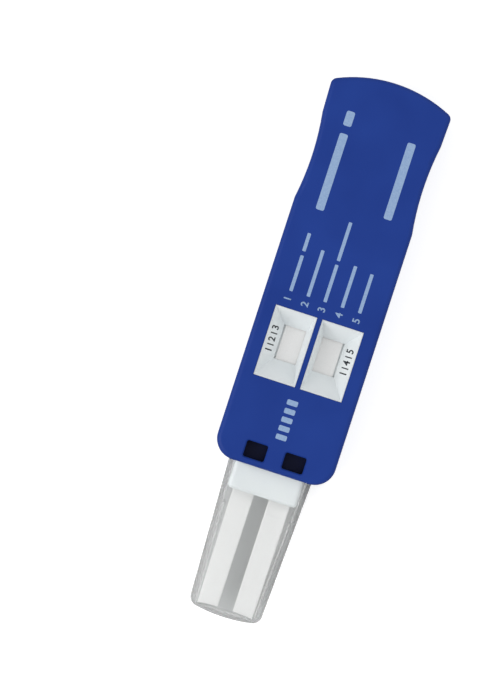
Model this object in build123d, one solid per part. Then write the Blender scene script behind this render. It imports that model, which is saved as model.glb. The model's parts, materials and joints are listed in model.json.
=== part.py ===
from build123d import *
from math import sqrt
import os

# Lateral flow cassette, lying on its back. Millimetres.
# X across, Y along it towards the grip end, Z up through the front face.
# The origin is under the middle of the whole object, on the surface it lies on.

# Lengths along Y
housing_length = 90.7
cap_length = 34.1

# Housing outline
housing_width = 27.5
shoulder_width = 28.0
top_radius = 31.5
shoulder_corner = 1.5
waist_width = 25.9
waist_start = 10.4
waist_length = 20.5
waist_corner = 3.0
end_corner = 4.8

# Housing section
housing_thickness = 13.0
split_height = 6.5
wall = 1.5
face_wall = 1.4
front_edge = 1.1
rear_bevel = 1.0
parting_chamfer = 0.25
tongue_height = 0.8
tongue_thickness = 0.65
tongue_play = 0.1

# Reading windows: a funnel from the front face down to the strip
well_length = 16.25
well_end_gap = 19.5
well_bar = 1.1
well_side_rim = 3.5
well_recess = 0.2
well_rim = 0.2
inner_side_bevel = 1.4
top_bevel = 3.6
window_length = 7.9
window_width = 5.25
frame_clearance = 0.05
frame_plate = 1.0
frame_overlap = 0.7
frame_wall = 0.8
frame_over_membrane = 0.25
frame_tail = 13.6
hold_down_thickness = 1.0
hold_down_count = 2
hold_down_pitch = 5.0

# Latch pockets
pocket_width = 4.9
pocket_length = 3.8
pocket_corner = 0.5
pocket_pitch = 9.0
pocket_end_gap = 1.45
pocket_wall = 0.7
pocket_floor = 0.6
pocket_lip = 0.3
pocket_clearance = 0.3

# Test strips
strip_width = 4.95
strip_under_frame = 0.22
strip_inner_play = 0.1
strip_outer_play = 0.4
strip_height = 6.6
card_thickness = 0.35
membrane_thickness = 0.2
membrane_length = 25.0
conjugate_thickness = 0.4
conjugate_length = 9.5
wick_thickness = 0.9
absorbent_thickness = 0.9
absorbent_length = 12.0
absorbent_overlap = 4.0
pad_overlap = 2.0
wick_tip_gap = 0.45

# Strip tray and its collar
collar_width = 16.1
collar_height = 8.0
collar_reach = 6.1
collar_wall = 1.0
collar_chamfer = 0.5
collar_edge = 1.0
collar_fit = 0.1
tray_floor = 0.9
tray_end_wall = 1.0
tray_end_gap = 0.5
flange_thickness = 1.0
flange_step = 0.9

# Ampoule and the press rib that breaks it
ampoule_diameter = 4.0
ampoule_length = 20.0
ampoule_taper = 1.6
ampoule_end_gap = 4.4
ampoule_play = 0.15
press_wall = 0.9
press_width = 15.0
press_length = 12.0
press_rib_width = 1.4
press_rib_length = 9.0
press_rib_play = 0.3
press_gap = 0.3

# Supports and pins that join the shells
support_thickness = 1.0
support_play = 0.1
support_side = 1.0
support_rise = 0.8
pin_width = 2.0
pin_length = 3.5
pin_play = 0.1
post_width = 3.6
grip_pin_inset = 12.4
grip_pin_side = 3.45
middle_pin_inset = 36.0
end_pin_inset = 11.9
grip_rib_thickness = 1.0
grip_rib_height = 3.0
grip_rib_count = 3
grip_rib_pitch = 9.0

# Clear cap
cap_width = 19.2
cap_end_width = 16.5
cap_wall = 1.2
cap_end_radius = 36.0
cap_end_corner = 2.2
cap_inner_corner = 0.5
cap_edge = 2.2
cap_fit = 0.3
cap_step = 0.25
cap_step_reach = 9.7
cap_seat = 0.05

# Places along Y
total_length = housing_length + cap_length
top_y = total_length / 2
end_y = top_y - housing_length
cap_end_y = end_y - cap_length
well_low_y = end_y + well_end_gap
well_high_y = well_low_y + well_length
window_high_y = well_high_y - top_bevel
window_low_y = window_high_y - window_length
window_mid_y = (window_high_y + window_low_y) / 2
pocket_low_y = end_y + pocket_end_gap
pocket_high_y = pocket_low_y + pocket_length
wick_tip_y = cap_end_y + cap_wall + wick_tip_gap
membrane_low_y = window_mid_y - membrane_length / 2
membrane_high_y = window_mid_y + membrane_length / 2
conjugate_high_y = membrane_low_y + pad_overlap
conjugate_low_y = conjugate_high_y - conjugate_length
wick_high_y = conjugate_low_y + pad_overlap
absorbent_low_y = membrane_high_y - absorbent_overlap
absorbent_high_y = absorbent_low_y + absorbent_length
tray_high_y = absorbent_high_y + tray_end_gap + tray_end_wall
collar_low_y = end_y - collar_reach
collar_high_y = pocket_low_y - pocket_wall - 2 * collar_fit
ampoule_low_y = end_y + ampoule_end_gap
ampoule_mid_y = ampoule_low_y + ampoule_length / 2
press_high_y = well_low_y - frame_overlap - 2 * press_rib_play
press_low_y = press_high_y - press_length
press_mid_y = (press_high_y + press_low_y) / 2

# Places across X
well_inner_x = well_bar / 2 + frame_clearance
well_outer_x = housing_width / 2 - well_side_rim
window_inner_x = well_bar / 2 + inner_side_bevel
window_outer_x = window_inner_x + window_width
strip_x = window_inner_x - strip_under_frame + strip_width / 2
tray_side_x = collar_width / 2
body_pin_x = (tray_side_x + housing_width / 2 - wall) / 2

# Heights
front_inside_z = housing_thickness - face_wall
card_top_z = strip_height + card_thickness
membrane_top_z = card_top_z + membrane_thickness
funnel_low_z = membrane_top_z + frame_over_membrane
funnel_high_z = housing_thickness - well_recess
tray_low_z = strip_height - tray_floor
cap_mid_z = housing_thickness / 2
collar_low_z = cap_mid_z - collar_height / 2
collar_high_z = cap_mid_z + collar_height / 2
cap_height = collar_height + 2 * (cap_fit + cap_wall)
pocket_floor_z = card_top_z + wick_thickness + pocket_clearance + pocket_floor
ampoule_mid_z = face_wall + ampoule_diameter / 2

SIDES = {"left": -1, "right": 1}


def block(x_range, y_range, z_range):
    """Box between two values on each axis, in any order."""
    spans = [(min(pair), max(pair)) for pair in (x_range, y_range, z_range)]
    size = [high - low for low, high in spans]
    middle = [(high + low) / 2 for low, high in spans]
    return Pos(*middle) * Box(*size)


def level(z):
    """Horizontal drawing plane at height z."""
    return Plane.XY.offset(z)


def housing_plan(inset=0.0):
    """Outline of the housing from the front, drawn inset inside the real one."""
    half = housing_width / 2
    shoulder = shoulder_width / 2
    shoulder_y = top_y - top_radius + sqrt(top_radius**2 - shoulder**2)
    waist_high_y = top_y - waist_start
    waist_low_y = waist_high_y - waist_length
    waist_mid_y = (waist_high_y + waist_low_y) / 2
    arc = ThreePointArc((-shoulder, shoulder_y), (0, top_y), (shoulder, shoulder_y))
    side = Curve() + [
        Line((shoulder, shoulder_y), (half, waist_high_y)),
        ThreePointArc((half, waist_high_y), (waist_width / 2, waist_mid_y), (half, waist_low_y)),
        Line((half, waist_low_y), (half, end_y)),
    ]
    base = Line((half, end_y), (-half, end_y))
    plan = make_face(Curve() + [arc, *side.edges(), base, *mirror(side, Plane.YZ).edges()])
    if inset:
        plan = offset(plan, amount=-inset, kind=Kind.INTERSECTION)
    corners = (
        (half, end_y, end_corner),
        (half, waist_low_y, waist_corner),
        (half, waist_high_y, waist_corner),
        (shoulder, shoulder_y, shoulder_corner),
    )
    for x, y, radius in corners:
        pair = [plan.vertices().sort_by_distance((sign * x, y))[0] for sign in SIDES.values()]
        plan = fillet(pair, max(radius - inset, 0.2))
    return plan


def pin_places():
    """Centres of the six pins that join the shells, three to a side."""
    rows = (
        (top_y - grip_pin_inset, waist_width / 2 - grip_pin_side),
        (top_y - middle_pin_inset, body_pin_x),
        (end_y + end_pin_inset, body_pin_x),
    )
    return [(sign * x, y) for y, x in rows for sign in SIDES.values()]


def upright(x, y, low_z, high_z, width):
    """Hexagonal post standing along Z, as wide as given across its flats."""
    outline = level(low_z) * Pos(x, y) * RegularPolygon(width / 2, 6, major_radius=False, rotation=30)
    return extrude(outline, amount=high_z - low_z)


def side_span(sign, inner_x, outer_x):
    """Range across X of a feature on one side."""
    return (sign * inner_x, sign * outer_x)


def funnel(x_low, y_low, z_low, x_high, y_high, z_high):
    """Flat-sided solid from a level rectangle at z_low up to another at z_high, each a range on X and Y."""
    x_low, y_low, x_high, y_high = (sorted(pair) for pair in (x_low, y_low, x_high, y_high))
    corner = Plane((x_low[0], y_low[1], z_low), x_dir=(1, 0, 0), z_dir=(0, -1, 0))
    size = (x_low[1] - x_low[0], z_high - z_low, y_low[1] - y_low[0])
    far_low = (x_high[0] - x_low[0], y_low[1] - y_high[1])
    far_high = (x_high[1] - x_low[0], y_low[1] - y_high[0])
    return corner * Wedge(*size, *far_low, *far_high, align=Align.NONE)


def latch_pocket(x, grow, low_z, high_z, radius):
    """Upright prism of a latch pocket, grown on all sides of its opening."""
    middle_y = (pocket_low_y + pocket_high_y) / 2
    size = (pocket_width + 2 * grow, pocket_length + 2 * grow)
    outline = level(low_z) * Pos(x, middle_y) * RectangleRounded(*size, radius)
    return extrude(outline, amount=high_z - low_z)


def collar_hole():
    """Opening in the end wall for the collar, and behind it for the tray under the latch pockets."""
    half = collar_width / 2 + collar_fit
    low_z = collar_low_z - collar_fit
    seat_y = collar_high_y + collar_fit
    seat = block((-half, half), (end_y - 1, seat_y), (low_z, collar_high_z + collar_fit))
    tray_way = (low_z, pocket_floor_z - pocket_floor)
    return seat + block((-half, half), (seat_y, end_y + wall + 1), tray_way)


def parting_ring(low_z, high_z, thickness):
    """Ring along the inner side of the housing wall, for the tongue or the groove at the parting."""
    ring = extrude(level(low_z) * housing_plan(wall - thickness), amount=high_z - low_z)
    return ring - extrude(level(low_z) * housing_plan(wall), amount=high_z - low_z)


def front_shell():
    """Front half: windows, press area, latch pockets, and the pins that join it to the rear."""
    shell = extrude(level(split_height) * housing_plan(), amount=housing_thickness - split_height)
    shell = fillet(shell.faces().sort_by(Axis.Z)[-1].edges(), front_edge)
    shell = chamfer(shell.faces().sort_by(Axis.Z)[0].edges(), parting_chamfer)
    shell -= extrude(level(split_height) * housing_plan(wall), amount=front_inside_z - split_height)
    for sign in SIDES.values():
        opening_x = side_span(sign, well_bar / 2, well_outer_x + frame_clearance)
        opening_y = (well_low_y - frame_clearance, well_high_y + frame_clearance)
        shell -= block(opening_x, opening_y, (front_inside_z - 1, housing_thickness + 1))
    thinned = (front_inside_z - 1, housing_thickness - press_wall)
    shell -= block((-press_width / 2, press_width / 2), (press_low_y, press_high_y), thinned)
    rib_low_z = ampoule_mid_z + ampoule_diameter / 2 + press_gap
    rib_y = (press_mid_y - press_rib_length / 2, press_mid_y + press_rib_length / 2)
    rib_z = (rib_low_z, housing_thickness - press_wall / 2)
    shell += block((-press_rib_width / 2, press_rib_width / 2), rib_y, rib_z)
    for sign in SIDES.values():
        x = sign * pocket_pitch / 2
        outer = (pocket_floor_z - pocket_floor, housing_thickness - face_wall / 2)
        shell += latch_pocket(x, pocket_wall, *outer, pocket_corner + pocket_wall)
        shell -= latch_pocket(x, 0, pocket_floor_z, housing_thickness + 1, pocket_corner)
    openings = shell.faces().sort_by(Axis.Z)[-1].inner_wires().edges()
    shell = chamfer(openings.filter_by(lambda edge: edge.center().Y < pocket_high_y + 1), pocket_lip)
    groove_high_z = split_height + tongue_height + tongue_play
    shell -= parting_ring(split_height, groove_high_z, tongue_thickness + tongue_play)
    for x, y in pin_places():
        shell += upright(x, y, split_height, housing_thickness - face_wall / 2, post_width)
        shell += upright(x, y, split_height - pin_length, split_height, pin_width)
    return shell - collar_hole()


def rear_shell():
    """Rear half: flat back, tray supports, ampoule bay and sockets for the pins."""
    shell = extrude(housing_plan(), amount=split_height)
    shell = chamfer(shell.faces().sort_by(Axis.Z)[0].edges(), rear_bevel)
    shell = chamfer(shell.faces().sort_by(Axis.Z)[-1].edges(), parting_chamfer)
    shell -= extrude(level(face_wall) * housing_plan(wall), amount=split_height)
    for y in support_places():
        shell += tray_support(y)
    for row in range(grip_rib_count):
        y = top_y - grip_pin_inset + (row - (grip_rib_count - 1) / 2) * grip_rib_pitch
        half = waist_width / 2 - wall / 2
        y_range = (y - grip_rib_thickness / 2, y + grip_rib_thickness / 2)
        shell += block((-half, half), y_range, (face_wall / 2, face_wall + grip_rib_height))
    shell += parting_ring(split_height, split_height + tongue_height, tongue_thickness)
    for x, y in pin_places():
        shell += upright(x, y, face_wall / 2, split_height, post_width)
    for x, y in pin_places():
        socket_low_z = split_height - pin_length - pin_play
        shell -= upright(x, y, socket_low_z, split_height + 1, pin_width + 2 * pin_play)
    return shell - collar_hole()


def support_places():
    """Places along Y of the ribs that the tray lies on."""
    low = ampoule_low_y + ampoule_length / 5
    high = tray_high_y - tray_end_wall - support_thickness
    return [low + (high - low) * step / 3 for step in range(4)]


def tray_support(y):
    """Rib with a notch that holds the tray and a gap that holds the ampoule."""
    notch = tray_side_x + support_play
    outer = notch + support_side
    y_range = (y - support_thickness / 2, y + support_thickness / 2)
    rib = block((-outer, outer), y_range, (face_wall / 2, tray_low_z + support_rise))
    rib -= block((-notch, notch), y_range, (tray_low_z, tray_low_z + 2 * support_rise))
    if y < ampoule_low_y + ampoule_length:
        bay = ampoule_diameter / 2 + ampoule_play
        rib -= block((-bay, bay), y_range, (face_wall, tray_low_z))
    return rib


def window_frame():
    """White frame whose two funnels fill the window openings of the front shell."""
    side_x = window_outer_x + frame_wall
    plate_x = well_outer_x + frame_overlap
    plate_y = (well_low_y - frame_overlap, well_low_y + well_length + frame_tail)
    frame = block((-plate_x, plate_x), plate_y, (front_inside_z - frame_plate, front_inside_z))
    well_y = (well_low_y, well_high_y)
    skirt_y = (window_low_y - frame_wall, window_high_y + frame_wall)
    plate_z = front_inside_z - frame_plate
    for sign in SIDES.values():
        lip_x = side_span(sign, well_inner_x, well_outer_x)
        frame += block(lip_x, well_y, (plate_z, funnel_high_z))
        neck = (side_span(sign, 0, side_x), skirt_y, funnel_low_z)
        mouth = (side_span(sign, 0, well_outer_x), well_y, plate_z)
        frame += funnel(*neck, *mouth)
    for sign in SIDES.values():
        window_x = side_span(sign, window_inner_x, window_outer_x)
        rim_x = side_span(sign, well_inner_x + well_rim, well_outer_x - well_rim)
        rim_y = (well_low_y + well_rim, well_high_y - well_rim)
        window = (window_x, (window_low_y, window_high_y), funnel_low_z)
        frame -= funnel(*window, rim_x, rim_y, funnel_high_z)
    pad_top_z = card_top_z + membrane_thickness + absorbent_thickness
    for step in range(hold_down_count):
        y = membrane_high_y + hold_down_pitch * (step - 0.5)
        bar_y = (y, y + hold_down_thickness)
        frame += block((-window_outer_x, window_outer_x), bar_y, (pad_top_z, plate_z))
    return frame


def strip_tray():
    """White tray with a channel for each strip; its end is the collar that the cap slides on."""
    tray = block((-tray_side_x, tray_side_x), (collar_low_y, tray_high_y), (tray_low_z, funnel_low_z))
    flange_x = tray_side_x + flange_step
    flange_y = (end_y + wall + collar_fit, end_y + wall + collar_fit + flange_thickness)
    tray += block((-flange_x, flange_x), flange_y, (face_wall + collar_fit, strip_height))
    bore_x = tray_side_x - collar_wall
    bore_z = (collar_low_z + collar_wall, collar_high_z - collar_wall)
    tray -= block((-bore_x, bore_x), flange_y, (bore_z[0], tray_low_z))
    collar = block(
        (-tray_side_x, tray_side_x), (collar_low_y, collar_high_y), (collar_low_z, collar_high_z)
    )
    collar = fillet(collar.edges().filter_by(Axis.Y), collar_edge)
    collar = chamfer(collar.faces().sort_by(Axis.Y)[0].edges(), collar_chamfer)
    tray = tray - block((-tray_side_x, tray_side_x), (collar_low_y, collar_high_y), (0, housing_thickness))
    shelf = block((-bore_x, bore_x), (collar_low_y, collar_high_y), (tray_low_z, strip_height))
    collar -= block((-bore_x, bore_x), (collar_low_y - 1, collar_high_y + 1), bore_z)
    tray += collar + shelf
    for sign in SIDES.values():
        channel_x = side_span(
            sign, strip_x - strip_width / 2 - strip_inner_play, strip_x + strip_width / 2 + strip_outer_play
        )
        channel_y = (collar_high_y - 1, absorbent_high_y + tray_end_gap)
        tray -= block(channel_x, channel_y, (strip_height, funnel_low_z + 1))
    slot_x = press_rib_width / 2 + press_rib_play
    slot_reach = press_rib_length / 2 + press_rib_play
    slot_y = (press_mid_y - slot_reach, press_mid_y + slot_reach)
    tray -= block((-slot_x, slot_x), slot_y, (tray_low_z - 1, funnel_low_z + 1))
    return tray


def side_profile(points, x):
    """Pad of strip width with the given outline in Y and Z, centred on x."""
    outline = make_face(Polyline(*[(0, y, z) for y, z in points], close=True))
    return Pos(x - strip_width / 2, 0, 0) * extrude(outline, amount=strip_width, dir=(1, 0, 0))


def stepped_pad(low_y, step_y, high_y, low_z, high_z, thickness, x):
    """Pad that lies at low_z up to step_y and at high_z beyond it, one thickness throughout."""
    ramp = high_z - low_z
    low_corner = min(step_y, step_y - ramp)
    high_corner = max(step_y, step_y - ramp)
    under = [(low_y, low_z), (step_y, low_z), (step_y, high_z), (high_y, high_z)]
    over = [
        (high_y, high_z + thickness),
        (high_corner, high_z + thickness),
        (low_corner, low_z + thickness),
        (low_y, low_z + thickness),
    ]
    return side_profile(under + over, x)


def strip_parts(x):
    """The five layers of one test strip."""
    half = strip_width / 2
    span = (x - half, x + half)
    conjugate_top_z = card_top_z + conjugate_thickness
    return {
        "backing_card": block(span, (wick_tip_y, absorbent_high_y), (strip_height, card_top_z)),
        "membrane": block(span, (membrane_low_y, membrane_high_y), (card_top_z, membrane_top_z)),
        "conjugate_pad": stepped_pad(
            conjugate_low_y, membrane_low_y, conjugate_high_y,
            card_top_z, membrane_top_z, conjugate_thickness, x,
        ),
        "wick": stepped_pad(
            wick_tip_y, conjugate_low_y, wick_high_y,
            card_top_z, conjugate_top_z, wick_thickness, x,
        ),
        "absorbent_pad": stepped_pad(
            absorbent_low_y, membrane_high_y, absorbent_high_y,
            membrane_top_z, card_top_z, absorbent_thickness, x,
        ),
    }


def ampoule():
    """Sealed ampoule with tapered ends, lying on the rear shell under the press area."""
    tube = level(ampoule_mid_z) * Pos(0, ampoule_mid_y) * Rot(90, 0, 0)
    tube *= Cylinder(ampoule_diameter / 2, ampoule_length)
    ends = tube.faces().sort_by(Axis.Y)
    return chamfer(ends[0].edges() + ends[-1].edges(), ampoule_taper, ampoule_diameter / 3)


def cap_half_width(y):
    """Half of the outer width of the cap at y."""
    narrowing = (cap_width - cap_end_width) / 2 / cap_length
    return cap_width / 2 - narrowing * (end_y - y)


def cap_form(plan, half_height, edge_radius):
    """Solid of the given plan about the middle of the cap, its long edges rounded."""
    form = extrude(level(cap_mid_z - half_height) * plan, amount=2 * half_height)
    for face in (form.faces().sort_by(Axis.Z)[0], form.faces().sort_by(Axis.Z)[-1]):
        form = fillet(face.edges().sort_by(Axis.Y)[:-1], edge_radius)
    return form


def cap_outside(mouth_y):
    """Outer form of the cap, narrowing to a gently domed end."""
    mouth_x = cap_half_width(mouth_y)
    end_x = cap_end_width / 2
    corner_y = cap_end_y + cap_end_radius - sqrt(cap_end_radius**2 - end_x**2)
    outline = Curve() + [
        ThreePointArc((-end_x, corner_y), (0, cap_end_y), (end_x, corner_y)),
        Polyline((end_x, corner_y), (mouth_x, mouth_y), (-mouth_x, mouth_y), (-end_x, corner_y)),
    ]
    plan = make_face(outline)
    plan = fillet(plan.vertices().sort_by(Axis.Y)[:2], cap_end_corner)
    return cap_form(plan, cap_height / 2, cap_edge)


def cap_bore(thickness, end, mouth_y):
    """Space inside the cap for the given wall thickness, from its flat end to beyond the mouth."""
    end_x = cap_half_width(end) - thickness
    mouth_x = cap_half_width(mouth_y) - thickness
    corners = ((-end_x, end), (end_x, end), (mouth_x, mouth_y), (-mouth_x, mouth_y))
    plan = make_face(Polyline(*corners, close=True))
    plan = fillet(plan.vertices().sort_by(Axis.Y)[:2], cap_inner_corner)
    return cap_form(plan, cap_height / 2 - thickness, cap_edge - cap_wall)


def cap():
    """Clear cap, open towards the housing, with a wider bore where it slides on the collar."""
    mouth_y = end_y - cap_seat
    beyond = mouth_y + 1
    narrow = cap_bore(cap_wall + cap_step, cap_end_y + cap_wall, beyond)
    wide = cap_bore(cap_wall, end_y - cap_step_reach, beyond)
    return cap_outside(mouth_y) - narrow - wide


def build_all():
    """Every node by name."""
    nodes = {
        "front_shell": front_shell(),
        "rear_shell": rear_shell(),
        "window_frame": window_frame(),
        "strip_tray": strip_tray(),
        "ampoule": ampoule(),
        "cap": cap(),
    }
    for side, sign in SIDES.items():
        for layer, solid in strip_parts(sign * strip_x).items():
            nodes[f"{side}_{layer}"] = solid
    return nodes


os.makedirs("parts", exist_ok=True)
for name, solid in build_all().items():
    export_step(solid, f"parts/{name}.step")
    print(f"{name}: {len(solid.solids())} solid, {solid.volume:.1f} mm3")
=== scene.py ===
# %% [markdown]
# # A lateral flow cassette
# The real object is a flat blue housing of two moulded shells. Two white funnels show the test
# strips, and two wicks stand out at the end under a clear cap. The shapes of the plastic pieces come
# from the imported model. This lesson gives them their finishes, models the soft and printed pieces,
# and lights the whole like a catalogue picture.

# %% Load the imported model
import bmesh
import bpy
import json
import math
from mathutils import Matrix, Vector, noise

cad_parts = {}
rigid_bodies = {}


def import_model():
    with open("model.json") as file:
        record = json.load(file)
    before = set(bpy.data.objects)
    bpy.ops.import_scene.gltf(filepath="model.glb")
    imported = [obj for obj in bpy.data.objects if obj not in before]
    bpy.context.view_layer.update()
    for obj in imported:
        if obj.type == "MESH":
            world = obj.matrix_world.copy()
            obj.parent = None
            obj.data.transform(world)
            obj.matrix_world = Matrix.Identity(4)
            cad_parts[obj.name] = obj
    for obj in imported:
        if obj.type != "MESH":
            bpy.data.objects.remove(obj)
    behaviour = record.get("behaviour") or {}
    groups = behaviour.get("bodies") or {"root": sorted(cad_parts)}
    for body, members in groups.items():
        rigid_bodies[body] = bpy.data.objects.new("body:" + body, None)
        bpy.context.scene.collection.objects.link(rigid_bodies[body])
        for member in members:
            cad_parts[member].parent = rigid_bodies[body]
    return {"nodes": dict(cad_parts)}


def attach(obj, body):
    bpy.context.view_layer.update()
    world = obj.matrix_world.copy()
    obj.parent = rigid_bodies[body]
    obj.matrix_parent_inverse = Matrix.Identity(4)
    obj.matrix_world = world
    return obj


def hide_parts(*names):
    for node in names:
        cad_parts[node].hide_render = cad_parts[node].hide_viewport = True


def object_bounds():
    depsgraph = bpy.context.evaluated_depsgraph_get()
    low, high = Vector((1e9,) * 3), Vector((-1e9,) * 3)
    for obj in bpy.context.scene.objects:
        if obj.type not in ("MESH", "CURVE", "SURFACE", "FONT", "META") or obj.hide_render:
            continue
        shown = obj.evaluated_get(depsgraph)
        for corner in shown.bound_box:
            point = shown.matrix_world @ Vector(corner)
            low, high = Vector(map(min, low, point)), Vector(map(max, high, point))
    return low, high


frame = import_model()
nodes = frame["nodes"]
cad_low, cad_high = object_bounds()
mm = 0.001
print("nodes:", ", ".join(sorted(nodes)))
print("box in mm:", [round(v / mm, 2) for v in (*cad_low, *cad_high)])

# %% [markdown]
# ## Camera
# The photograph looks straight down on the front face with a long lens, so nothing converges. The
# housing lies turned by 18 degrees, and 4.5 pixels show one millimetre. A camera whose long side
# covers that many millimetres at the height of the front face gives the same picture.

# %% Place the camera
picture_width, picture_height = 500, 700
pixels_per_mm = 4.5
turn = math.radians(18.05)
middle_pixel = (309.6, 350.6)
lens, sensor = 250.0, 36.0

right = Vector((math.cos(turn), math.sin(turn), 0))
upward = Vector((-math.sin(turn), math.cos(turn), 0))
aim = right * (picture_width / 2 - middle_pixel[0]) / pixels_per_mm * mm
aim += upward * (middle_pixel[1] - picture_height / 2) / pixels_per_mm * mm
distance = picture_height / pixels_per_mm * mm * lens / sensor

camera_data = bpy.data.cameras.new("camera")
camera_data.lens, camera_data.sensor_width = lens, sensor
camera_data.clip_end = 20.0
camera = bpy.data.objects.new("camera", camera_data)
camera.location = aim + Vector((0, 0, cad_high.z + distance))
camera.rotation_euler = (0, 0, turn)
bpy.context.scene.collection.objects.link(camera)
bpy.context.scene.camera = camera
print("camera is", round(distance, 3), "m above the front face")

# %% [markdown]
# ## Helpers for materials
# Every finish below is a small node tree. These helpers make a node, feed its sockets with a
# number or with another node's output, and turn a colour measured on screen into the linear values
# that the shader works in.

# %% Material helpers
def linear(red, green, blue):
    """Linear colour of a screen colour given from 0 to 255."""
    values = [channel / 255 for channel in (red, green, blue)]
    return (*[v / 12.92 if v <= 0.04045 else ((v + 0.055) / 1.055) ** 2.4 for v in values], 1.0)


def feed(tree, socket, value):
    """Links an output to the socket, or sets the socket to a constant."""
    if isinstance(value, bpy.types.NodeSocket):
        tree.links.new(value, socket)
    else:
        socket.default_value = value


def add_node(tree, kind, inputs=None, **settings):
    """New shader node with its settings and inputs."""
    made = tree.nodes.new("ShaderNode" + kind)
    for name, value in settings.items():
        setattr(made, name, value)
    for name, value in (inputs or {}).items():
        feed(tree, made.inputs[name], value)
    return made


def new_finish(name, **inputs):
    """Material with a Principled shader; returns it with its tree, shader and object coordinates."""
    material = bpy.data.materials.new(name)
    material.use_nodes = True
    tree = material.node_tree
    shader = tree.nodes["Principled BSDF"]
    for socket, value in inputs.items():
        feed(tree, shader.inputs[socket.replace("_", " ")], value)
    place = add_node(tree, "TexCoord").outputs["Object"]
    return material, tree, shader, place


def speckle(tree, place, size, detail=2.0, roughness=0.5):
    """Noise whose grains are about size metres across."""
    inputs = {"Vector": place, "Scale": 1 / size, "Detail": detail, "Roughness": roughness}
    return add_node(tree, "TexNoise", inputs).outputs["Fac"]


def between(tree, factor, low, high, start=0.3, end=0.7):
    """Colour that runs from low to high as factor goes from start to end."""
    span = add_node(tree, "MapRange", {"Value": factor, "From Min": start, "From Max": end})
    mix = add_node(tree, "Mix", {"Factor": span.outputs["Result"]}, data_type="RGBA")
    feed(tree, mix.inputs["A"], low)
    feed(tree, mix.inputs["B"], high)
    return mix.outputs["Result"]


def number_between(tree, factor, low, high, start=0.3, end=0.7):
    """Number that runs from low to high as factor goes from start to end."""
    limits = {"Value": factor, "From Min": start, "From Max": end, "To Min": low, "To Max": high}
    return add_node(tree, "MapRange", limits).outputs["Result"]


def raise_grain(tree, shader, height, depth, strength=1.0):
    """Fine relief in the surface, depth metres deep."""
    inputs = {"Height": height, "Distance": depth, "Strength": strength}
    feed(tree, shader.inputs["Normal"], add_node(tree, "Bump", inputs).outputs["Normal"])


def dress(material, *names):
    """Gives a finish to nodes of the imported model."""
    for name in names:
        nodes[name].material_slots[0].material = material


# %% [markdown]
# ## Blue housing
# The shells are moulded in a tool whose face was spark eroded, which leaves a very fine satin grain.
# Its grains are a tenth of a millimetre, so close up they show as sparkle, and from a step away as an
# even sheen. A broad, faint drift of colour stands for the flow of the plastic. Inside the two latch
# pockets, which are four millimetres deep, the blue is painted darker towards the floor: painted shade
# that stands in for the shadow in the pockets.

# %% Blue moulded plastic
# Painted shade: the region of the latch pockets and the heights over which it runs from dark navy to the
# plain blue.
pockets_half_span = 7.4 * mm
pockets_low_y, pockets_high_y = -27.3 * mm, -22.8 * mm
darkest_z, palest_z = 10.5 * mm, 12.75 * mm

blue_plastic, tree, shader, place = new_finish("blue_plastic", Specular_IOR_Level=0.18)
drift = speckle(tree, place, 14 * mm)
blue = between(tree, drift, linear(23, 56, 140), linear(28, 62, 148))

spot = add_node(tree, "SeparateXYZ", {0: place}).outputs
off_middle = add_node(tree, "Math", {0: spot["X"]}, operation="ABSOLUTE").outputs[0]
beside = add_node(tree, "Math", {0: off_middle, 1: pockets_half_span}, operation="LESS_THAN").outputs[0]
below = add_node(tree, "Math", {0: spot["Y"], 1: pockets_high_y}, operation="LESS_THAN").outputs[0]
above = add_node(tree, "Math", {0: spot["Y"], 1: pockets_low_y}, operation="GREATER_THAN").outputs[0]
# Painted shade: the blue is mixed towards a dark navy from the pockets' lip down to their floor,
# standing in for their shadow.
pocket_painted_shade = number_between(tree, spot["Z"], 1.0, 0.0, darkest_z, palest_z)
for condition in (beside, below, above):
    pocket_painted_shade = add_node(tree, "Math", {0: pocket_painted_shade, 1: condition}, operation="MULTIPLY").outputs[0]
feed(tree, shader.inputs["Base Color"], between(tree, pocket_painted_shade, blue, linear(8, 20, 66), 0.0, 1.0))
grain = speckle(tree, place, 0.16 * mm, detail=3)
feed(tree, shader.inputs["Roughness"], number_between(tree, grain, 0.36, 0.48))
raise_grain(tree, shader, grain, 0.012 * mm)
dress(blue_plastic, "front_shell", "rear_shell")

# %% [markdown]
# ## White carrier
# The frame round the windows and the tray under it are white and smoother than the housing, because
# their tool faces were polished for release. A little light goes into the plastic, which softens
# the shading of the funnels.

# %% White moulded plastic
white_plastic, tree, shader, place = new_finish("white_plastic", Specular_IOR_Level=0.4)
drift = speckle(tree, place, 9 * mm)
white = between(tree, drift, linear(236, 241, 243), linear(241, 245, 246))
feed(tree, shader.inputs["Base Color"], white)
grain = speckle(tree, place, 0.25 * mm, detail=2)
feed(tree, shader.inputs["Roughness"], number_between(tree, grain, 0.3, 0.42))
raise_grain(tree, shader, grain, 0.006 * mm)
dress(white_plastic, "window_frame", "strip_tray")

# %% [markdown]
# ## Clear cap
# The cap is injection-moulded polystyrene. It bends light where its walls turn, which draws the pale
# and dark bands along its sides, so it is a true refracting solid and not a see-through film. The
# plastic itself would need an index of 1.5. A lower one is set here to draw the bands more faintly.
# A path tracer finds lamps through bent glass only by chance, so rays that look for a lamp pass
# straight through, a little dimmed. A tenth of the surface scatters white instead of letting light
# through. That is the milky haze that a cheap clear moulding has. Faint flow marks vary the gloss.

# %% Clear moulded plastic
def let_lamps_through(tree, shader, dimmed):
    """Lets rays that look for a lamp pass straight through a clear finish."""
    output = tree.nodes["Material Output"]
    rays = add_node(tree, "LightPath").outputs
    straight = add_node(tree, "BsdfTransparent", {"Color": dimmed}).outputs["BSDF"]
    inputs = {0: rays["Is Shadow Ray"], 1: shader.outputs["BSDF"], 2: straight}
    feed(tree, output.inputs["Surface"], add_node(tree, "MixShader", inputs).outputs["Shader"])


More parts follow.
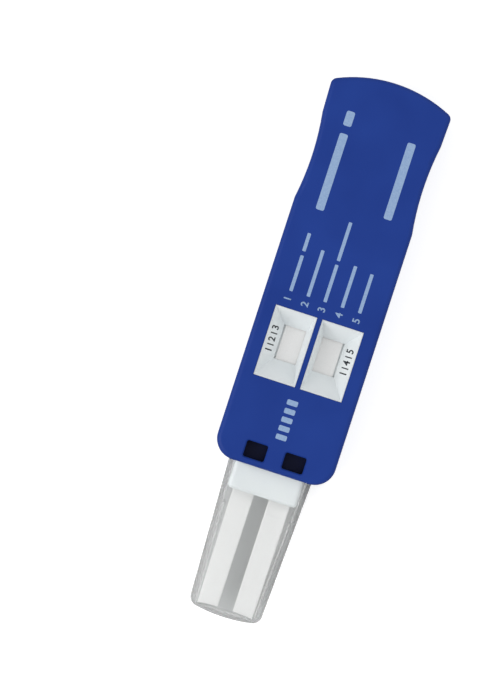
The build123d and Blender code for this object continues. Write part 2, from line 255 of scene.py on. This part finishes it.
clear_plastic, tree, shader, place = new_finish(
    "clear_plastic", Transmission_Weight=0.9, IOR=1.3, Base_Color=linear(250, 251, 251)
)
flow = speckle(tree, place, 5 * mm, detail=1)
feed(tree, shader.inputs["Roughness"], number_between(tree, flow, 0.1, 0.16))
raise_grain(tree, shader, flow, 0.003 * mm)
let_lamps_through(tree, shader, linear(246, 247, 247))
dress(clear_plastic, "cap")

# %% [markdown]
# ## Strip papers
# A test strip is built from sheets: a smooth plastic card, a chalky membrane, a glass-fibre pad and
# blotting paper. Each gets the fibre size of its sheet. The membrane is the finest, and the
# absorbent pad the coarsest.

# %% Papers and pads
def paper(name, pale, shade, fibre, relief):
    """Dry sheet with a fibre of the given size and relief."""
    material, tree, shader, place = new_finish(name, Roughness=0.9, Specular_IOR_Level=0.15)
    stretched = add_node(tree, "Mapping", {"Vector": place, "Scale": (1.0, 0.35, 1.0)}).outputs["Vector"]
    fibres = speckle(tree, stretched, fibre, detail=4, roughness=0.65)
    feed(tree, shader.inputs["Base Color"], between(tree, fibres, shade, pale))
    raise_grain(tree, shader, fibres, relief)
    return material


membrane_paper = paper(
    "membrane_paper", linear(248, 247, 246), linear(241, 240, 239), 0.12 * mm, 0.01 * mm
)
wick_fleece = paper(
    "wick_fleece", linear(250, 249, 248), linear(240, 239, 238), 0.3 * mm, 0.05 * mm
)
pad_fibre = paper(
    "pad_fibre", linear(222, 205, 205), linear(208, 188, 190), 0.2 * mm, 0.03 * mm
)
blotting_paper = paper(
    "blotting_paper", linear(240, 238, 232), linear(226, 223, 216), 0.35 * mm, 0.04 * mm
)
card_sheet = paper(
    "card_sheet", linear(238, 238, 235), linear(233, 233, 230), 0.8 * mm, 0.004 * mm
)
for side in ("left", "right"):
    dress(membrane_paper, f"{side}_membrane")
    dress(wick_fleece, f"{side}_wick")
    dress(pad_fibre, f"{side}_conjugate_pad")
    dress(blotting_paper, f"{side}_absorbent_pad")
    dress(card_sheet, f"{side}_backing_card")

# %% [markdown]
# ## Ampoule
# The sealed ampoule is thin glass full of buffer. It lies hidden under the press area, and it still
# gets its finish, because the housing may be shown open.

# %% Ampoule glass
ampoule_glass, tree, shader, place = new_finish(
    "ampoule_glass", Transmission_Weight=1.0, IOR=1.4, Base_Color=linear(225, 240, 238)
)
ripple = speckle(tree, place, 2 * mm, detail=1)
feed(tree, shader.inputs["Roughness"], number_between(tree, ripple, 0.01, 0.04))
let_lamps_through(tree, shader, linear(235, 245, 243))
dress(ampoule_glass, "ampoule")

# %% [markdown]
# ## Wicks
# A wick is cut from pressed fleece. Its edges aren't crisp: the fibres fray a little and the faces
# swell and dip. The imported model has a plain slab, so this piece takes a copy of it, slices it into
# short lengths, rounds the cut edges and pushes every point by a small noise that has the size of a
# tuft. The slab's step over the pad under it stays as it is.

# %% Fleece wicks
cut_rounding = 0.16 * mm
slice_length = 0.45 * mm
tuft_size, tuft_push = 0.7 * mm, 0.045
fray_size, fray_push = 0.25 * mm, 0.02


def new_piece(name, shape, finish, body="housing"):
    """Puts a finished shape into the scene as a piece that moves with a body."""
    mesh = bpy.data.meshes.new(name)
    shape.to_mesh(mesh)
    shape.free()
    mesh.materials.append(finish)
    piece = bpy.data.objects.new(name, mesh)
    bpy.context.scene.collection.objects.link(piece)
    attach(piece, body)
    print(f"{name}: {len(mesh.polygons)} faces")
    return piece


def slice_across(shape, axis, step):
    """Cuts a shape into lengths of one step along an axis."""
    normal = Vector([float(i == axis) for i in range(3)])
    reach = [corner.co[axis] for corner in shape.verts]
    place = min(reach) + step
    while place < max(reach) - step / 2:
        everything = shape.verts[:] + shape.edges[:] + shape.faces[:]
        bmesh.ops.bisect_plane(shape, geom=everything, plane_co=normal * place, plane_no=normal)
        place += step


def fleece(side):
    """Wick with frayed edges and a softly uneven face."""
    shape = bmesh.new()
    shape.from_mesh(nodes[f"{side}_wick"].data)
    bmesh.ops.remove_doubles(shape, verts=shape.verts, dist=0.001 * mm)
    bmesh.ops.dissolve_limit(shape, angle_limit=0.01, verts=shape.verts, edges=shape.edges)
    rim = [edge for edge in shape.edges if edge.calc_face_angle() > 1.2]
    bmesh.ops.bevel(
        shape, geom=rim, offset=cut_rounding, segments=2, profile=0.5, affect="EDGES", material=-1
    )
    slice_across(shape, 1, slice_length)
    slice_across(shape, 0, slice_length)
    for corner in shape.verts:
        tuft = noise.noise_vector(corner.co / tuft_size)
        fray = noise.noise_vector(corner.co / fray_size)
        corner.co += (tuft * tuft_push + fray * fray_push) * mm
    bmesh.ops.recalc_face_normals(shape, faces=shape.faces)
    piece = new_piece(f"{side}_fleece_wick", shape, wick_fleece)
    piece.data.shade_smooth()
    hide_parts(f"{side}_wick")


for side in ("left", "right"):
    fleece(side)

# %% [markdown]
# ## Print
# The housing carries pad print: a pale ink on the blue and a black one beside the windows. Each
# window line has a number, and the legend above gives the same number with a plain bar. A print is
# a film of ink, so every mark is a closed sheet two hundredths of a millimetre thick. Marks beside
# the windows lie on sloping walls. They are drawn flat and then dropped straight down onto the wall,
# as the pad presses them.

# %% Inks
pale_ink, tree, shader, place = new_finish("pale_ink", Specular_IOR_Level=0.25)
cover = speckle(tree, place, 0.3 * mm, detail=3)
pale = between(tree, cover, linear(140, 168, 208), linear(158, 184, 218))
feed(tree, shader.inputs["Base Color"], pale)
feed(tree, shader.inputs["Roughness"], number_between(tree, cover, 0.4, 0.55))

black_ink, tree, shader, place = new_finish("black_ink", Specular_IOR_Level=0.3)
cover = speckle(tree, place, 0.2 * mm, detail=3)
dark = between(tree, cover, linear(24, 28, 36), linear(44, 50, 58))
feed(tree, shader.inputs["Base Color"], dark)
feed(tree, shader.inputs["Roughness"], number_between(tree, cover, 0.35, 0.5))

# %% Marks drawn flat
ink_depth = 0.02 * mm
ink_sink = 0.006 * mm
bar_corner_share = 0.22
digit_height_share = 0.7
digit_weight_share = 0.03


def add_bar(shape, x, low_y, high_y, width):
    """Bar along Y with round ends, drawn flat at height zero."""
    made = bmesh.ops.create_grid(shape, x_segments=1, y_segments=1, size=0.5)["verts"]
    bmesh.ops.scale(shape, vec=(width * mm, (high_y - low_y) * mm, 1), verts=made)
    bmesh.ops.translate(shape, vec=(x * mm, (low_y + high_y) / 2 * mm, 0), verts=made)
    radius = min(width, high_y - low_y) * bar_corner_share * mm
    bmesh.ops.bevel(
        shape, geom=made, offset=radius, segments=4, profile=0.5, affect="VERTICES", material=-1
    )


def add_number(shape, number, x, y, height):
    """Number that reads along +Y, its middle at x and its foot line to the right, drawn flat."""
    curve = bpy.data.curves.new("number", "FONT")
    curve.body = str(number)
    curve.align_x, curve.align_y = "CENTER", "CENTER"
    curve.size = height / digit_height_share * mm
    curve.offset = digit_weight_share * height * mm
    written = bpy.data.objects.new("number", curve)
    bpy.context.scene.collection.objects.link(written)
    seen = written.evaluated_get(bpy.context.evaluated_depsgraph_get())
    mesh = bpy.data.meshes.new_from_object(seen)
    mesh.transform(Matrix.Translation((x * mm, y * mm, 0)) @ Matrix.Rotation(math.pi / 2, 4, "Z"))
    shape.from_mesh(mesh)
    for leftover in (written, curve, mesh):
        store = {"Object": bpy.data.objects, "TextCurve": bpy.data.curves, "Mesh": bpy.data.meshes}
        store[type(leftover).__name__].remove(leftover)


def press_onto(shape, surface):
    """Drops a flat drawing onto the surface below and gives it the thickness of ink."""
    bmesh.ops.triangulate(shape, faces=shape.faces)
    for corner in shape.verts:
        hit, where, _, _ = surface.ray_cast((corner.co.x, corner.co.y, 1.0), (0, 0, -1))
        corner.co.z = where.z - ink_sink if hit else 0
    raised = bmesh.ops.extrude_face_region(shape, geom=shape.faces[:])["geom"]
    corners = [item for item in raised if isinstance(item, bmesh.types.BMVert)]
    bmesh.ops.translate(shape, vec=(0, 0, ink_depth + ink_sink), verts=corners)
    bmesh.ops.recalc_face_normals(shape, faces=shape.faces)


# %% Legend and grip marks
letter_height = 1.65
legend_foot = 8.9
number_rise = letter_height * 0.35
bar_width = letter_height * 0.48
bar_shift = 0.1
legend = {
    1: (-8.18, (11.3, 19.6), (20.6, 24.8)),
    2: (-4.14, (11.3, 22.1)),
    3: (-0.21, (11.3, 20.0), (20.9, 29.9)),
    4: (3.84, (11.3, 21.0)),
    5: (7.88, (11.3, 20.4)),
}

shape = bmesh.new()
for number, (x, *bars) in legend.items():
    add_number(shape, number, x, legend_foot + number_rise, letter_height)
    for low_y, high_y in bars:
        add_bar(shape, x + bar_shift, low_y, high_y, bar_width)
press_onto(shape, nodes["front_shell"])
new_piece("legend_print", shape, pale_ink)

grip_bar_width = 1.9
grip_bars = ((-7.6, 30.4, 48.2), (-7.6, 50.0, 53.4), (7.4, 33.0, 50.8))
shape = bmesh.new()
for x, low_y, high_y in grip_bars:
    add_bar(shape, x, low_y, high_y, grip_bar_width)
press_onto(shape, nodes["front_shell"])
new_piece("grip_print", shape, pale_ink)

# %% Press mark
press_low_y, press_high_y, press_bars = -21.2, -11.2, 5
press_bar_width, gap_below, gap_above = 2.5, 0.3, 0.5
pitch = (press_high_y - press_low_y) / press_bars
shape = bmesh.new()
for step in range(press_bars):
    foot = press_low_y + pitch * step
    add_bar(shape, 0, foot + gap_below, foot + pitch - gap_above, press_bar_width)
press_onto(shape, nodes["front_shell"])
new_piece("press_mark", shape, pale_ink)

# %% Marks beside the windows
window_lines = (-2.58, -0.09, 2.6)
mark_height = 1.5
tick_thickness = 0.28
mark_columns = ((-8.7, (1, 2, 3)), (8.75, (1, 4, 5)))
shape = bmesh.new()
for x, numbers in mark_columns:
    for y, number in zip(window_lines, numbers):
        add_number(shape, number, x, y, mark_height)
    for low, high in zip(window_lines, window_lines[1:]):
        middle = (low + high) / 2
        made = bmesh.ops.create_grid(shape, x_segments=1, y_segments=1, size=0.5)["verts"]
        bmesh.ops.scale(shape, vec=(mark_height * mm, tick_thickness * mm, 1), verts=made)
        bmesh.ops.translate(shape, vec=(x * mm, middle * mm, 0), verts=made)
press_onto(shape, nodes["window_frame"])
new_piece("window_marks", shape, black_ink)

# %% [markdown]
# ## Floor and light
# The picture has a pure white ground and soft light from the left. The floor is pale grey and carries
# a glow that the camera sees, so it reaches white while the shadow under the object stays. A trace of
# the glow is also seen through the clear cap. A wide lamp on the left, a weaker one on the right and
# an even sky give every surface about the brightness its colour says.

# %% Floor
floor_radius = 3.0
floor_pale = 0.6
glow_to_camera, glow_through_cap = 0.7, 0.02
floor_mesh = bpy.data.meshes.new("floor")
shape = bmesh.new()
bmesh.ops.create_circle(shape, cap_ends=True, segments=64, radius=floor_radius)
shape.to_mesh(floor_mesh)
shape.free()
floor = bpy.data.objects.new("floor", floor_mesh)
bpy.context.scene.collection.objects.link(floor)

floor_white, tree, shader, place = new_finish("floor_white", Roughness=1.0, Specular_IOR_Level=0.0)
feed(tree, shader.inputs["Base Color"], (floor_pale, floor_pale, floor_pale, 1.0))
rays = add_node(tree, "LightPath").outputs
feed(tree, shader.inputs["Emission Color"], (1.0, 1.0, 1.0, 1.0))
glow = 0.0
for ray, level in (("Is Camera Ray", glow_to_camera), ("Is Transmission Ray", glow_through_cap)):
    inputs = {0: rays[ray], 1: level, 2: glow}
    glow = add_node(tree, "Math", inputs, operation="MULTIPLY_ADD").outputs[0]
feed(tree, shader.inputs["Emission Strength"], glow)
floor.data.materials.append(floor_white)

# %% Sky and lamps
sky_level, sky_to_camera = 0.62, 1.0
world = bpy.data.worlds.new("studio")
world.use_nodes = True
bpy.context.scene.world = world
tree = world.node_tree
sky = tree.nodes["Background"]
rays = add_node(tree, "LightPath").outputs
feed(tree, sky.inputs["Color"], (1.0, 1.0, 1.0, 1.0))
limits = {"Value": rays["Is Camera Ray"], "To Min": sky_level, "To Max": sky_to_camera}
feed(tree, sky.inputs["Strength"], add_node(tree, "MapRange", limits).outputs["Result"])


def lamp(name, sideways, along, height, size, level):
    """Square lamp aimed at the object; level is the brightness it gives a white card facing it."""
    place = right * sideways + upward * along + Vector((0, 0, height))
    data = bpy.data.lights.new(name, "AREA")
    data.size = size
    data.energy = level * math.pi**2 * place.length_squared
    light = bpy.data.objects.new(name, data)
    light.location = place
    light.rotation_euler = place.to_track_quat("Z", "Y").to_euler()
    bpy.context.scene.collection.objects.link(light)


lamp("window_lamp", -0.7, -0.15, 0.6, 0.7, 0.4)
lamp("fill_lamp", 0.6, 0.3, 0.7, 0.7, 0.12)

view_settings = bpy.context.scene.view_settings
view_settings.view_transform = "Standard"
